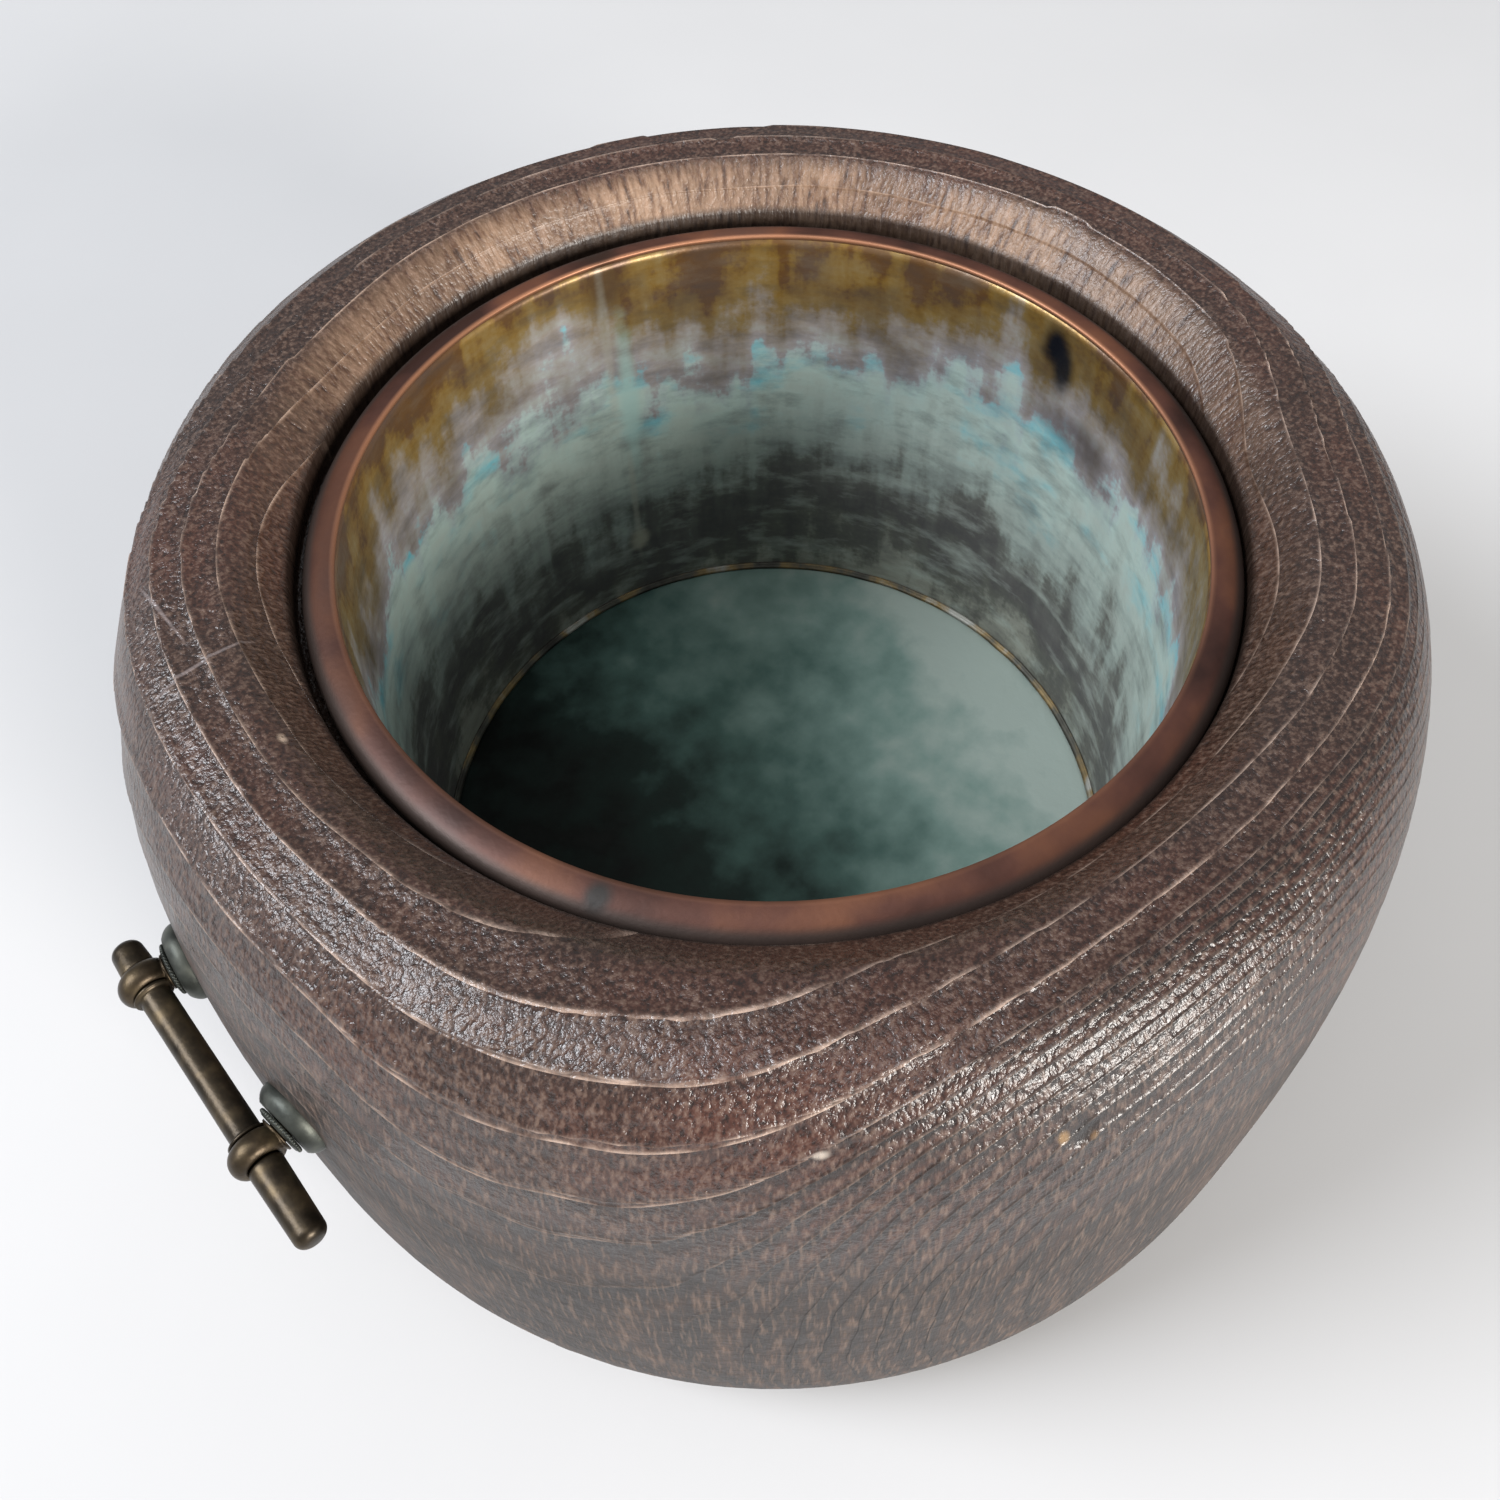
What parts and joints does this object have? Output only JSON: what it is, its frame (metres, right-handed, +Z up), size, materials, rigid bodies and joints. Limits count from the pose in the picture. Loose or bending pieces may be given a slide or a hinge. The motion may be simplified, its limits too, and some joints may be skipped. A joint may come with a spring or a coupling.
{
  "type": "hibachi charcoal brazier",
  "caption": "Round brazier turned from a hollowed log, with a lift-out copper fire liner resting on a rebate and a turned bar handle held in eyes on each side.",
  "frame": {"origin": "middle of the base, on the surface it stands on", "axes": "+Z up, the two handles along +X and -X, bars along Y"},
  "size_m": [0.4294, 0.3968, 0.24],
  "materials": {
    "lacquered_elm": "scorched, brushed and wiped with dark lacquer, satin",
    "board_wood": "planed, unfinished",
    "bamboo": "split and whittled",
    "patinated_copper": "weathered copper with verdigris bands",
    "lip_copper": "brown copper, rubbed bright on the crest",
    "iron": "black, dry",
    "solder": "dull grey solder with brown stains",
    "aged_bronze": "dark olive-brown bronze, hand polished",
    "grey_bronze": "grey-green bronze, satin"
  },
  "bodies": {
    "root": {"wood_body": "lacquered_elm", "bottom_board": "board_wood", "board_peg_1": "bamboo", "board_peg_2": "bamboo", "board_peg_3": "bamboo", "board_peg_4": "bamboo", "board_peg_5": "bamboo", "board_peg_6": "bamboo", "left_short_eye": "aged_bronze", "left_short_rosette": "grey_bronze", "left_short_seat_washer": "grey_bronze", "left_short_clinch_washer": "iron", "left_long_eye": "aged_bronze", "left_long_rosette": "grey_bronze", "left_long_seat_washer": "grey_bronze", "left_long_clinch_washer": "iron", "right_short_eye": "aged_bronze", "right_short_rosette": "grey_bronze", "right_short_seat_washer": "grey_bronze", "right_short_clinch_washer": "iron", "right_long_eye": "aged_bronze", "right_long_rosette": "grey_bronze", "right_long_seat_washer": "grey_bronze", "right_long_clinch_washer": "iron"},
    "liner": {"liner_wall": "patinated_copper", "liner_floor": "patinated_copper", "liner_lip": "lip_copper", "lip_wire": "iron", "floor_solder": "solder"},
    "left_handle": {"left_bar": "aged_bronze"},
    "right_handle": {"right_bar": "aged_bronze"}
  },
  "joints": [
    {"name": "liner_lift", "type": "slide", "parent": "root", "child": "liner", "axis": [0, 0, 1], "range_m": [0, 0.2]},
    {"name": "left_bar_spin", "type": "hinge", "parent": "root", "child": "left_handle", "pos_m": [-0.20682, 0, 0.153], "axis": [0, 1, 0], "continuous": true},
    {"name": "right_bar_spin", "type": "hinge", "parent": "root", "child": "right_handle", "pos_m": [0.20682, 0, 0.153], "axis": [0, 1, 0], "continuous": true}
  ]
}
